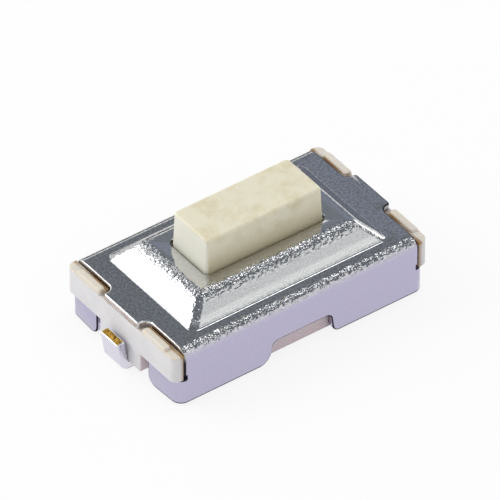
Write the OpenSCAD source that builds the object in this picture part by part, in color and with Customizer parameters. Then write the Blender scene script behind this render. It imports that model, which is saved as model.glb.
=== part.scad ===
/* [Overall] */
// Length of the base from end face to end face
base_l = 6; // [5.7:0.1:7.5]
// Width over the cover's two long walls
cover_w = 3.5; // [3.4:0.1:4.5]
// Height of the cover's flat border above the seating plane
border_z = 1.3; // [1.25:0.05:2]
// Height of the button's top above the seating plane
total_h = 2.5; // [2.3:0.1:5]

/* [Cover] */
// Thickness of the sheet that the cover is drawn from
sheet_t = 0.15; // [0.12:0.01:0.17]
// Height of the cover's lower edge above the seating plane
wall_lift = 0.02; // [0.01:0.01:0.08]
// Outer radius of the bend between the border and each long wall
wall_bend_r = 0.2; // [0.19:0.01:0.3]
// Distance that the border's ends stand back from the base's end faces
border_setback = 0.25; // [0.22:0.01:0.3]
// Width of the tongue in the middle of each end
tongue_w = 1.1; // [0.8:0.05:1.25]
// Distance that the tongue's end stands back from the base's end face
tongue_setback = 0.02; // [0:0.01:0.1]
// Radius of the inside corners where a tongue meets the border
tongue_fillet_r = 0.15; // [0.05:0.01:0.18]
// Height of the drawn crown above the border
crown_h = 0.44; // [0.36:0.01:0.6]
// Flat left on the crown between the button and each short crest
crest_flat_l = 0.47; // [0.46:0.01:0.6]
// Flat left on the crown between the button and each long crest
crest_flat_w = 0.395; // [0.38:0.005:0.45]
// Length that each short slope of the crown covers
slope_run_l = 0.465; // [0.3:0.005:0.5]
// Width that each long slope of the crown covers
slope_run_w = 0.41; // [0.3:0.01:0.45]
// Outer radius of the crown's crests
crest_r = 0.3; // [0.2:0.01:0.32]

/* [Windows and flaps] */
// Width of the window in the lower edge of each long wall
window_w = 1.45; // [1:0.01:2]
// Height of that window
window_h = 0.48; // [0.25:0.01:0.55]
// Radius of the window's upper corners
window_r = 0.19; // [0.05:0.01:0.25]
// Radius of the wall's lower corner at the left of its window, seen from outside
left_leg_r = 0.28; // [0.05:0.01:0.3]
// Radius of the wall's lower corner at the right of its window
right_leg_r = 0.17; // [0.05:0.01:0.3]
// Height of the four flaps that clasp the base's ends
flap_h = 0.58; // [0.3:0.01:0.65]
// Outer radius of the bend between a long wall and its flap
flap_bend_r = 0.22; // [0.2:0.01:0.3]
// Angle that each flap is bent through, short of square by its spring back
flap_angle = 87; // [80:1:90]
// Length of the flat of a flap past its bend
flap_flat = 0.72; // [0.4:0.01:0.75]
// Distance from a flap's outermost point to the base's end plane
flap_recess = 0.055; // [0.03:0.005:0.08]
// Radius of a flap's lower corner
flap_r = 0.16; // [0.05:0.01:0.25]
// Height of the relief slit above a flap
relief_h = 0.14; // [0.05:0.01:0.2]

/* [Button] */
// Length of the button
button_l = 2.75; // [2.4:0.05:3]
// Width of the button
button_w = 1.15; // [1:0.05:1.4]
// Gap between the button and its opening in the cover
button_gap = 0.06; // [0.04:0.01:0.12]
// Radius of the button's upright edges
button_edge_r = 0.09; // [0.05:0.01:0.2]
// Distance that each side of the button leans in from its foot to its top
button_draft = 0.025; // [0.01:0.005:0.05]
// Radius of the rim of the button's top
button_rim_r = 0.05; // [0.03:0.01:0.1]
// Distance that the retaining flange stands out past the button
flange_rim = 0.24; // [0.15:0.01:0.26]
// Thickness of the retaining flange
flange_t = 0.3; // [0.2:0.01:0.35]
// Gap between the flange and the underside of the crown at rest
flange_gap = 0.03; // [0.02:0.01:0.05]
// Radius of the nib that presses the dome
nib_r = 0.45; // [0.3:0.01:0.55]
// Radius of the rounded rim of the nib's foot
nib_edge_r = 0.15; // [0.05:0.01:0.2]

/* [Base] */
// Height of the base's underside above the seating plane
base_lift = 0.05; // [0.03:0.01:0.12]
// Thickness of the base's floor
floor_t = 0.37; // [0.3:0.01:0.42]
// Gap between a corner lug and the flap below it and the wall's end beside it
lug_gap = 0.02; // [0.01:0.01:0.04]
// Distance that a lug's side stands in from the outer face of the cover's wall
lug_inset = 0.01; // [0:0.01:0.05]
// Distance that a lug's outer part stands below the top of the border
lug_drop = 0.09; // [0.04:0.01:0.14]
// Radius of the upper edges of a lug's outer part
lug_edge_r = 0.08; // [0.03:0.01:0.1]
// Plan radius of the base's four corners
corner_r = 0.18; // [0.1:0.01:0.2]
// Distance that a lug's raised pad stands in from the cover's inner face
pad_inset = 0.17; // [0.1:0.01:0.3]
// Distance that a lug's raised pad stands below the top of the border
pad_drop = 0.03; // [0.01:0.01:0.08]
// Gap between the cover's cut edges and the raised pads
pad_gap = 0.07; // [0.04:0.01:0.1]
// Width of the block that carries each terminal
block_w = 1.3; // [1.2:0.05:1.4]
// Radius of the moulding's long edges
mould_r = 0.06; // [0.03:0.01:0.08]
// Radius of the cavity's upright corners
cavity_r = 0.3; // [0.1:0.05:0.35]

/* [Terminals] */
// Thickness of the terminal strip
terminal_t = 0.18; // [0.12:0.01:0.19]
// Width of each terminal where it leaves the base
terminal_w = 0.55; // [0.4:0.05:0.8]
// Height of the turned-up tab above the seating plane
tab_h = 0.72; // [0.5:0.01:1]
// Angle that the tab leans outwards
tab_lean = 9; // [0:1:15]
// Outer radius of the bend under the tab
tab_bend_r = 0.22; // [0.2:0.01:0.26]
// Distance that the tab's bend stands out past the base's end face
tab_stand = 0.19; // [0.19:0.01:0.3]
// Length of the joggle that brings the strip down to the seating plane
joggle_run = 0.2; // [0.15:0.01:0.25]
// Length of the flat foot between the joggle and the bend
foot_l = 0.62; // [0.5:0.01:0.65]
// Width of each prong of the forked common terminal
prong_w = 0.4; // [0.3:0.01:0.45]
// Length of the bar that joins the prongs
bar_l = 0.35; // [0.2:0.01:0.35]
// Radius of the centre contact's pad
contact_r = 0.32; // [0.25:0.01:0.36]
// Radius of the raised boss on that pad
boss_r = 0.2; // [0.1:0.01:0.22]
// Height of that boss
boss_h = 0.05; // [0.02:0.01:0.06]
// Width of the strip between the pad and the end of the base
strip_w = 0.4; // [0.3:0.05:0.5]

/* [Contact dome] */
// Length of the dome
dome_l = 3.6; // [3.5:0.05:3.7]
// Width of the dome between its two flat sides
dome_w = 1.9; // [1.85:0.05:2.1]
// Height of the dome's crown above its rim
dome_rise = 0.35; // [0.33:0.01:0.4]
// Thickness of the dome's sheet
dome_t = 0.06; // [0.04:0.01:0.08]
// Gap between the dome and the walls of the cavity
dome_gap = 0.05; // [0.03:0.01:0.1]
// Gap between the nib and the crown of the dome at rest
nib_gap = 0.02; // [0.01:0.01:0.04]

/* [Fits] */
// Gap between the base and the cover's walls and flaps
fit_gap = 0.02; // [0.01:0.01:0.03]

/* [Hidden] */
$fn = 48;
dome_fn = 128;
// Margin by which a cutting shape passes the face that it cuts
past = 0.5;

// Cover, derived
wall_y = cover_w / 2;
border_x = base_l / 2 - border_setback;
tongue_x = base_l / 2 - tongue_setback;
under_z = border_z - sheet_t;
crown_z = border_z + crown_h;
crest_x = button_l / 2 + crest_flat_l;
crest_y = button_w / 2 + crest_flat_w;
crown_x = crest_x + slope_run_l;
crown_y = crest_y + slope_run_w;
slope_l = atan2(crown_h, slope_run_l);
slope_w = atan2(crown_h, slope_run_w);
thin_l = sheet_t * tan(slope_l / 2);
thin_w = sheet_t * tan(slope_w / 2);
inner_bend_r = wall_bend_r - sheet_t;
inner_crest_r = crest_r - sheet_t;

// Flaps, derived: the bend starts where the flap's tip ends up in its recess
flap_bend_x = base_l / 2 - flap_recess - flap_bend_r * sin(flap_angle) - flap_flat * cos(flap_angle);
flap_bend_y = wall_y - flap_bend_r;
flap_top = wall_lift + flap_h;
flap_tip_y = flap_bend_y + flap_bend_r * cos(flap_angle) - flap_flat * sin(flap_angle);

// Base, derived
base_y = wall_y - sheet_t - fit_gap;
core_r = flap_bend_r - sheet_t - fit_gap;
core_x = flap_bend_x + core_r;
floor_z = base_lift + floor_t;
lug_x = border_x + lug_gap;
lug_y = wall_y - lug_inset;
lug_z0 = flap_top + lug_gap;
lug_z1 = border_z - lug_drop;
pad_z = border_z - pad_drop;
pad_x = border_x + pad_gap;
pad_y0 = tongue_w / 2 + pad_gap + tongue_fillet_r * 0.4;
pad_y1 = wall_y - sheet_t - pad_inset;

// Button, derived
flange_l = button_l + 2 * flange_rim;
flange_w = button_w + 2 * flange_rim;
flange_z1 = crown_z - sheet_t - flange_gap;
flange_z0 = flange_z1 - flange_t;
dome_z = floor_z + dome_rise;
cavity_l = max(dome_l, flange_l) + 2 * dome_gap;
cavity_w = max(dome_w, flange_w) + 2 * dome_gap;

// Terminals, derived
tab_turn = 90 - tab_lean;
tab_bend_x = base_l / 2 + tab_stand - tab_bend_r;
tab_l = (tab_h - tab_bend_r + (tab_bend_r - terminal_t) * cos(tab_turn)) / sin(tab_turn);
foot_x = tab_bend_x - foot_l;
joggle_x = foot_x - joggle_run;
prong_y = dome_w / 2;
prong_x = dome_l / 2;

// Rectangle about the origin with four round corners
module rounded_rect(l, w, r) {
    square([l, w - 2 * r], center = true);
    square([l - 2 * r, w], center = true);
    for (x = [-1, 1], y = [-1, 1]) translate([x * (l / 2 - r), y * (w / 2 - r)]) circle(r);
}

// Upright section from z0 to z1 with its two upper corners rounded
module arched_rect(half, z0, z1, r) {
    translate([-half, z0]) square([2 * half, z1 - r - z0]);
    translate([r - half, z0]) square([2 * (half - r), z1 - z0]);
    for (x = [-1, 1]) translate([x * (half - r), z1 - r]) circle(r);
}

// The same with its four corners rounded
module pill_rect(half, z0, z1, r) {
    translate([0, (z0 + z1) / 2]) rounded_rect(2 * half, z1 - z0, r);
}

// Extrude a section drawn in X and Z along the whole of Y
module along_y(w) {
    rotate([90, 0, 0]) linear_extrude(w, center = true) children();
}

// Extrude a section drawn in Y and Z along the whole of X
module along_x(l) {
    rotate([90, 0, 90]) linear_extrude(l, center = true) children();
}

// Both long sides of the part, alike by a half turn
module each_side() {
    for (turn = [0, 180]) rotate(turn) children();
}

// All four corners of the part
module each_corner() {
    for (x = [0, 1], y = [0, 1]) mirror([x, 0, 0]) mirror([0, y, 0]) children();
}

// Pie slice of a circle from -90 degrees through the turn, for bends of less than 90 degrees
module slice(turn, reach) {
    polygon([
        [0, 0],
        [0, -reach],
        reach * [sin(turn / 2), -cos(turn / 2)] * 1.4,
        reach * [sin(turn), -cos(turn)]
    ]);
}

// A strip's bend and the flat past it, starting along +X just below the origin
module bent_strip(r, t, turn, flat) {
    intersection() {
        difference() {
            circle(r);
            circle(r - t);
        }
        slice(turn, 2 * r);
    }
    rotate(turn) translate([0, -r]) square([flat, t]);
}

// Section of the crown: sloping sides up to a flat top, with round crests of radius r
module crown_section(half_base, half_top, z0, z1, r) {
    angle = atan2(z1 - z0, half_base - half_top);
    d = r * tan(angle / 2);
    for (side = [0, 1]) mirror([side, 0]) {
        polygon([
            [0, z0],
            [half_base, z0],
            [half_top + d * cos(angle), z1 - d * sin(angle)],
            [half_top - d, z1 - r],
            [half_top - d, z1],
            [0, z1]
        ]);
        translate([half_top - d, z1 - r]) circle(r);
    }
}

// Everything under the cover's outer face
module cover_outside() {
    intersection() {
        along_x(2 * base_l) {
            arched_rect(wall_y, wall_lift, border_z, wall_bend_r);
            crown_section(crown_y, crest_y, border_z, crown_z, crest_r);
        }
        along_y(2 * cover_w) {
            translate([-tongue_x, wall_lift]) square([2 * tongue_x, border_z - wall_lift]);
            crown_section(crown_x, crest_x, border_z, crown_z, crest_r);
        }
    }
}

// Everything under the cover's inner face
module cover_inside() {
    intersection() {
        along_x(2 * base_l) {
            arched_rect(wall_y - sheet_t, wall_lift - past, under_z, inner_bend_r);
            crown_section(crown_y - thin_w, crest_y - thin_w, under_z, crown_z - sheet_t, inner_crest_r);
        }
        along_y(2 * cover_w) {
            translate([-base_l, wall_lift - past]) square([2 * base_l, under_z - wall_lift + past]);
            crown_section(crown_x - thin_l, crest_x - thin_l, under_z, crown_z - sheet_t, inner_crest_r);
        }
    }
}

// Plan of the border with its two tongues
module border_plan() {
    square([2 * border_x, 2 * cover_w], center = true);
    square([2 * tongue_x, tongue_w], center = true);
    for (x = [0, 1], y = [0, 1]) mirror([x, 0]) mirror([0, y]) translate([border_x, tongue_w / 2]) {
        difference() {
            square(tongue_fillet_r);
            translate([tongue_fillet_r, tongue_fillet_r]) circle(tongue_fillet_r);
        }
    }
}

// Window in a long wall: round upper corners and a mouth that opens round the wall's legs
module window_section() {
    arched_rect(window_w / 2, wall_lift - past, wall_lift + window_h, window_r);
    mirror([1, 0]) window_leg(left_leg_r);
    window_leg(right_leg_r);
}

// What the mouth of a window takes off the wall to round its lower corner with radius r
module window_leg(r) {
    translate([window_w / 2, wall_lift]) difference() {
        translate([-r / 2, -past]) square([1.5 * r, r + past]);
        translate([r, r]) circle(r);
    }
}

// Upright outline that rounds the lower corner of a flap's free end
module flap_outline() {
    translate([flap_tip_y - past, wall_lift + flap_r]) square([cover_w, flap_h - flap_r]);
    translate([flap_tip_y + flap_r, wall_lift]) square([cover_w, flap_h]);
    translate([flap_tip_y + flap_r, wall_lift + flap_r]) circle(flap_r);
}

// The flap at one corner, from the start of its bend to its free end
module flap() {
    mirror([0, 1, 0]) intersection() {
        translate([flap_bend_x, -flap_bend_y, wall_lift]) linear_extrude(flap_h)
            bent_strip(flap_bend_r, sheet_t, flap_angle, flap_flat);
        mirror([0, 1, 0]) along_x(2 * base_l) flap_outline();
    }
}

// Side profile of a terminal from the cavity's floor out to its turned-up tab
module terminal_profile(start_x) {
    translate([start_x, floor_z - terminal_t]) square([joggle_x - start_x, terminal_t]);
    polygon([
        [joggle_x, floor_z],
        [joggle_x, floor_z - terminal_t],
        [foot_x, 0],
        [foot_x, terminal_t]
    ]);
    translate([foot_x, 0]) square([foot_l, terminal_t]);
    translate([tab_bend_x, tab_bend_r]) bent_strip(tab_bend_r, terminal_t, tab_turn, tab_l);
}

// The flat part of a terminal that lies in the cavity's floor
module in_floor() {
    translate([0, 0, floor_z - terminal_t]) linear_extrude(terminal_t) children();
}

// Moulded body of the base before anything is taken out of it
module base_body() {
    intersection() {
        union() {
            translate([0, 0, base_lift]) linear_extrude(under_z - base_lift)
                rounded_rect(2 * core_x, 2 * base_y, core_r);
            translate([0, 0, lug_z0]) linear_extrude(under_z - lug_z0) rounded_rect(base_l, 2 * base_y, corner_r);
        }
        along_x(2 * base_l) arched_rect(base_y, 0, under_z, inner_bend_r + mould_r);
    }
    along_y(block_w) pill_rect(base_l / 2, terminal_t, lug_z0 + 2 * mould_r, mould_r);
    each_corner() {
        corner_block(lug_x, lug_y, lug_z1, lug_edge_r);
        corner_block(pad_x, pad_y1, pad_z, mould_r);
    }
}

// Block of one lug from x0 to the end of the base, from the ledge out to y1 and up to z1, with soft edges
module corner_block(x0, y1, z1, r) {
    intersection() {
        translate([x0, pad_y0, 0]) cube([base_l, cover_w, z1]);
        along_x(2 * base_l) translate([(pad_y0 + y1) / 2, 0]) arched_rect((y1 - pad_y0) / 2, lug_z0, z1, r);
        along_y(2 * cover_w) arched_rect(base_l / 2, lug_z0, z1, r);
        linear_extrude(z1) rounded_rect(base_l, 2 * lug_y, corner_r);
    }
}

// Base: the moulding that holds both terminals, the dome and the button
module base() {
    color("ivory") difference() {
        base_body();
        translate([0, 0, floor_z]) linear_extrude(under_z) rounded_rect(cavity_l, cavity_w, cavity_r);
        terminal_common();
        terminal_centre();
    }
}

// Common terminal: a fork whose two prongs carry the rim of the dome
module terminal_common() {
    color("silver") {
        along_y(terminal_w) terminal_profile(prong_x - bar_l / 2);
        in_floor() {
            for (side = [0, 1]) mirror([0, side]) translate([-prong_x, prong_y - prong_w])
                square([2 * prong_x, prong_w]);
            translate([prong_x - bar_l, -prong_y]) square([bar_l, 2 * prong_y]);
        }
    }
}

// Centre terminal: a strip between the prongs that ends in a pad with a raised boss
module terminal_centre() {
    color("silver") rotate(180) {
        along_y(terminal_w) terminal_profile(prong_x);
        in_floor() {
            translate([0, -strip_w / 2]) square([prong_x, strip_w]);
            circle(contact_r);
        }
        translate([0, 0, floor_z - boss_h]) cylinder(r = boss_r, h = 2 * boss_h);
    }
}

// Contact dome: a shallow cap with two flat sides that snaps through when it is pressed
module contact_dome() {
    half = dome_l / 2;
    dome_r = (half * half + dome_rise * dome_rise) / (2 * dome_rise);
    color("gainsboro") intersection() {
        translate([0, 0, dome_z - dome_r]) rotate_extrude($fn = dome_fn) intersection() {
            difference() {
                circle(dome_r, $fn = 2 * dome_fn);
                circle(dome_r - dome_t, $fn = 2 * dome_fn);
            }
            translate([0, dome_r - dome_rise]) square([dome_l, 2 * dome_rise]);
        }
        translate([-dome_l, -dome_w / 2, 0]) cube([2 * dome_l, dome_w, total_h]);
    }
}

// Section of the button's stem: upright inside the cover and drafted above it, with a round rim
module stem_section(half) {
    translate([-half, flange_z0]) square([2 * half, crown_z - flange_z0]);
    crown_section(half, half - button_draft, crown_z, total_h, button_rim_r);
}

// The button's stem, with a cone in each corner so that the upright edges keep their draft
module stem() {
    intersection() {
        union() {
            translate([0, 0, flange_z0]) linear_extrude(total_h - flange_z0) {
                square([button_l, button_w - 2 * button_edge_r], center = true);
                square([button_l - 2 * button_edge_r, button_w], center = true);
            }
            each_corner() translate([button_l / 2 - button_edge_r, button_w / 2 - button_edge_r, 0]) {
                translate([0, 0, flange_z0]) cylinder(r = button_edge_r, h = crown_z - flange_z0);
                translate([0, 0, crown_z])
                    cylinder(r1 = button_edge_r, r2 = button_edge_r - button_draft, h = total_h - crown_z);
            }
        }
        along_y(cover_w) stem_section(button_l / 2);
        along_x(base_l) stem_section(button_w / 2);
    }
}

// Button: the stem that shows, the flange that keeps it in and the nib under it
module button() {
    nib_z = dome_z + nib_gap;
    color("cornsilk") {
        stem();
        translate([0, 0, flange_z0]) linear_extrude(flange_t)
            rounded_rect(flange_l, flange_w, flange_rim);
        translate([0, 0, nib_z]) rotate_extrude() {
            square([nib_r - nib_edge_r, flange_z0 - nib_z]);
            translate([0, nib_edge_r]) square([nib_r, flange_z0 - nib_z - nib_edge_r + flange_t / 2]);
            translate([nib_r - nib_edge_r, nib_edge_r]) circle(nib_edge_r);
        }
    }
}

// Cover: one drawn and folded sheet, with its crown, two tongues, two windows and four flaps
module cover() {
    color("lightsteelblue") {
        difference() {
            intersection() {
                cover_outside();
                linear_extrude(crown_z) border_plan();
            }
            cover_inside();
            linear_extrude(crown_z + past)
                rounded_rect(button_l + 2 * button_gap, button_w + 2 * button_gap, button_edge_r + button_gap);
            each_side() translate([0, -wall_y, 0]) along_y(wall_y) window_section();
            each_corner() translate([flap_bend_x, 0, 0]) cube([base_l, cover_w, flap_top + relief_h]);
        }
        each_corner() flap();
    }
}

base();
terminal_common();
terminal_centre();
contact_dome();
button();
cover();
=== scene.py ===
"""Tactile push button switch: the looks of its pieces, its stage and its camera."""

import math
from functools import partialmethod
from types import SimpleNamespace

import bmesh
import bpy
from bpy.props import FloatProperty, FloatVectorProperty
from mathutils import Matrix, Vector


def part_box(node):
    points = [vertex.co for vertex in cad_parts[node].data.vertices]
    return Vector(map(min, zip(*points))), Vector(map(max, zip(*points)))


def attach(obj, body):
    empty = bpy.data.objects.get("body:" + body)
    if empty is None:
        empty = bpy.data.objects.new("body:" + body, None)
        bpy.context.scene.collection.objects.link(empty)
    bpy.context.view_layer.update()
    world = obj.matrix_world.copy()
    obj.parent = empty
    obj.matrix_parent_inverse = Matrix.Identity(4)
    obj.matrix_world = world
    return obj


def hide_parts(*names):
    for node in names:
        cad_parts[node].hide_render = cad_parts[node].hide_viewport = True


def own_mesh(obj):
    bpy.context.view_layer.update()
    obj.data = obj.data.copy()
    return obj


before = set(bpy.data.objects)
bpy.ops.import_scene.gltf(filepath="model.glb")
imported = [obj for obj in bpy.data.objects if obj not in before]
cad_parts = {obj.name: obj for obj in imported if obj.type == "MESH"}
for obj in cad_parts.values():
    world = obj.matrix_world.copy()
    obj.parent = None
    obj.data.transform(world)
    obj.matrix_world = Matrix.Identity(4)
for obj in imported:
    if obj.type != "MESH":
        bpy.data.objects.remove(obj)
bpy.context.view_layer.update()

bl_info = {
    "name": "Tactile push button switch",
    "version": (1, 0, 0),
    "blender": (4, 5, 0),
    "location": "3D View > Sidebar > Switch",
    "description": "Builds the cover, base, button, terminals and stage of a small tactile switch",
    "category": "Object",
}

MM = 0.001
# How far a point may lie from where a selection looks for it, in millimetres
SLACK = 0.0005
# Distances within which points merge and an edge counts as on a level, in millimetres
MERGE = SLACK / 5
NEAR = 0.01
# Least turn at which an edge is rounded, and at which it stays sharp in the shading
SHARP = math.radians(50)
SMOOTH = math.radians(40)
# Steps of the bends of the flaps and the tabs
BEND_STEPS = 9
# Steps in which the crown's foot curves up, and the share of its rounding that it rises
FOOT_STEPS = (0.35, 0.7, 1)
FOOT_RISE = 0.7

ALL_ROUND = (0, 99)
ANY_HEIGHT = (-99, 99)
AXES = {"x": Vector((1, 0, 0)), "y": Vector((0, 1, 0)), "z": Vector((0, 0, 1))}
CORNERS = [(x, y) for x in (-1, 1) for y in (-1, 1)]

# Tones of small worn or torn places in the finishes, and of painted shade, painted reflection and
# painted highlights
TARNISH_AND_SHADE = (0.1, 0.1, 0.09)
# Painted highlight along the foot of the near slope
SLOPE_HIGHLIGHT = (0.86, 0.86, 0.85)
TONGUE_TIP_SHADE = (0.60, 0.50, 0.47)
DIMMED_HIGHLIGHT = (0.30, 0.28, 0.26)
RIM_HIGHLIGHT = (0.97, 0.97, 0.96)
FOOT_SHADE = (0.1, 0.09, 0.12)
TORN_DARK = (0.10, 0.045, 0.01)
TORN_BRIGHT = (0.95, 0.72, 0.28)

# Floor: its size in metres, its depth under the switch in millimetres, and how far it glows
# where the camera or a mirror sees it
FLOOR_SIZE = 2
FLOOR_DROP = 0.01
FLOOR_GLOW = 0.85
# Cards: name, azimuth and elevation in degrees, distance, width and height in millimetres, tone
CARDS = (
    ("ceiling", 0, 90, 100, 300, 300, (0.25, 0.273, 0.303)),
    ("low_card", 63, 6, 85, 36, 30, (0.012, 0.012, 0.014)),
    ("end_card", 42, 22, 84, 32, 58, (0.30, 0.33, 0.40)),
)
# Lamps: the same, but with a level before the tone, which is white where none is given
LAMPS = (
    ("left_lamp", 136, 32, 70, 50, 36, 3.4),
    ("top_lamp", 8, 66, 90, 28, 28, 2.7),
    ("crest_lamp", 98, 53, 90, 38, 20, 1.7),
    ("end_lamp", 10, 25, 90, 34, 14, 2.4),
    ("right_lamp", -57, 34, 110, 70, 30, 0.80, (0.99, 1, 0.95)),
)

BASE_LOW, BASE_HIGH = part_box("base")
COVER_LOW, COVER_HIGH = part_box("cover")
BUTTON_LOW, BUTTON_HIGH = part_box("button")
TERMINAL_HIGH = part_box("terminal_common")[1]


def length(name, description, size):
    """A size in metres for the sidebar, given here in millimetres."""
    return FloatProperty(
        name=name, description=description, default=size * MM, unit="LENGTH", precision=6
    )


def angle(name, description, degrees):
    """An angle for the sidebar, given here in degrees."""
    return FloatProperty(
        name=name, description=description, default=math.radians(degrees), subtype="ANGLE"
    )


def colour(name, description, value):
    """A linear colour for the sidebar."""
    return FloatVectorProperty(
        name=name, description=description, default=value, subtype="COLOR", size=3, min=0, max=1
    )


def share(name, description, value):
    """A value from 0 to 1 for the sidebar."""
    return FloatProperty(
        name=name, description=description, default=value, subtype="FACTOR", min=0, max=1
    )


class SWITCH_PG_cover(bpy.types.PropertyGroup):
    """Sizes of the drawn cover."""

    sheet: length("Sheet", "Thickness of the sheet", 0.15)
    border_z: length("Border height", "Top of the flat border above the seating plane", 1.3)
    border_x: length("Border reach", "Half the length of the flat border", 2.75)
    bend: length("Long bend", "Outer radius of the bend down to each long wall", 0.2)
    droop: length("Border droop", "Fall of the border towards each long bend", 0.017)
    tongue_y: length("Tongue", "Half the width of each end's tongue", 0.55)
    tongue_fillet: length("Tongue fillet", "Radius beside a tongue's root", 0.15)
    tongue_corner: length("Tongue corners", "Radius of a tongue's own corners", 0.06)
    crest_x: length("Crest reach", "Half the length of the crown's flat top", 1.845)
    crest_y: length("Crest width", "Half the width of the crown's flat top", 0.97)
    run_x: length("Short slope", "Length that a short slope covers", 0.465)
    run_y: length("Long slope", "Width that a long slope covers", 0.41)
    crest_round: length("Crest rounding", "Rounding on each side of a crest", 0.12)
    foot_round: length("Foot rounding", "Rounding on each side of the crown's foot", 0.03)
    hole_x: length("Opening reach", "Half the length of the button's opening", 1.435)
    hole_y: length("Opening width", "Half the width of the button's opening", 0.635)
    hole_round: length("Opening corners", "Radius of the opening's corners", 0.15)
    window_x: length("Window", "Half the width of the window in a long wall", 0.725)
    window_h: length("Window height", "Height of the window in a long wall", 0.48)
    window_round: length("Window corners", "Radius of the window's upper corners", 0.19)
    left_leg: length("Left leg corner", "Radius of the wall's corner left of a window", 0.28)
    right_leg: length("Right leg corner", "Radius of the wall's corner right of a window", 0.17)
    flap_h: length("Flap height", "Height of the flaps that clasp the base", 0.58)
    flap_bend: length("Flap bend", "Outer radius of a flap's bend", 0.22)
    flap_flat: length("Flap flat", "Length of a flap past its bend", 0.72)
    flap_recess: length("Flap recess", "From a flap's tip to the base's end plane", 0.055)
    flap_round: length("Flap corner", "Radius of a flap's lower corner", 0.22)
    flap_angle: angle("Flap angle", "Angle that a flap is bent through", 87)
    relief: length("Relief slit", "Height of the slit above a flap", 0.09)
    edge: length("Cut edge", "Rounding of the sheet's cut edges", 0.028)
    hole_edge: length("Opening edge", "Rounding of the opening's cut edges", 0.01)


class SWITCH_PG_base(bpy.types.PropertyGroup):
    """Sizes of the white moulding."""

    side_y: length("Side", "Half the width of the core", 1.58)
    top_z: length("Top", "Height of the ledges that carry the cover", 1.15)
    lug_x: length("Lug reach", "Where a corner lug begins", 2.77)
    lug_z: length("Lug underside", "Height of the corner lugs' underside", 0.62)
    lug_top: length("Lug top", "Height of a lug's outer part", 1.21)
    corner: length("Corners", "Plan radius of the lugs' corners", 0.18)
    core_x: length("Core reach", "Half the length of the core between the flaps", 2.7375)
    core_round: length("Core corners", "Plan radius of the core's corners", 0.05)
    pad_x: length("Pad reach", "Where a lug's raised pad begins", 2.82)
    pad_in: length("Pad inner side", "From the middle plane to a pad", 0.68)
    pad_out: length("Pad outer side", "From the middle plane to a pad's outer side", 1.43)
    pad_corner: length("Pad corners", "Plan radius of a pad's corners", 0.083)
    pad_round: length("Pad rounding", "Rounding of a pad's rim", 0.05)
    block_y: length("Block", "Half the width of the block that carries a terminal", 0.65)
    cavity_x: length("Cavity reach", "Half the length of the cavity", 1.85)
    cavity_y: length("Cavity width", "Half the width of the cavity", 1.0)
    cavity_round: length("Cavity corners", "Radius of the cavity's upright corners", 0.3)
    floor_z: length("Floor", "Height of the cavity's floor", 0.42)
    lug_round: length("Lug edges", "Rounding of the lugs' outer edges", 0.055)
    soft: length("Soft edges", "Rounding of the moulding's other edges", 0.025)


class SWITCH_PG_button(bpy.types.PropertyGroup):
    """Sizes of the cream stem."""

    half_x: length("Button reach", "Half the length of the button", 1.375)
    half_y: length("Button width", "Half the width of the button", 0.575)
    draft: length("Draft", "Lean of each side from the cover to the top", 0.025)
    upright: length("Upright edges", "Radius of the upright edges", 0.09)
    rim: length("Rim", "Radius of the rim of the top", 0.05)
    flange_top: length("Flange top", "Height of the top of the flange", 1.56)
    flange: length("Flange", "Thickness of the flange", 0.3)
    nib: length("Nib", "Radius of the nib under the flange", 0.45)
    nib_round: length("Nib rounding", "Radius of the rim of the nib's foot", 0.15)


class SWITCH_PG_terminals(bpy.types.PropertyGroup):
    """Sizes of the two terminals."""

    strip: length("Strip", "Thickness of the strip", 0.18)
    half_y: length("Terminal width", "Half the width of a terminal outside the base", 0.275)
    bend: length("Bend", "Outer radius of the bend under the tab", 0.22)
    bend_x: length("Bend place", "Where the bend under the tab begins", 2.97)
    foot: length("Foot", "Length of the flat foot", 0.62)
    joggle: length("Joggle", "Length of the joggle up to the cavity's floor", 0.2)
    lean: angle("Lean", "Angle that the tab leans outwards", 9)
    prong_x: length("Prong reach", "Where the prongs end", 1.8)
    prong_y: length("Prong side", "Outer side of a prong", 0.95)
    prong: length("Prong", "Width of a prong", 0.4)
    bar: length("Bar", "Length of the bar that joins the prongs", 0.35)
    pad: length("Pad", "Radius of the centre contact's pad", 0.32)
    boss: length("Boss", "Radius of the boss on the pad", 0.2)
    boss_h: length("Boss height", "Height of the boss on the pad", 0.05)
    tongue_y: length("Inner strip", "Half the width of the strip to the pad", 0.2)
    edge: length("Cut edge", "Rounding of the strip's edges", 0.022)


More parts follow.
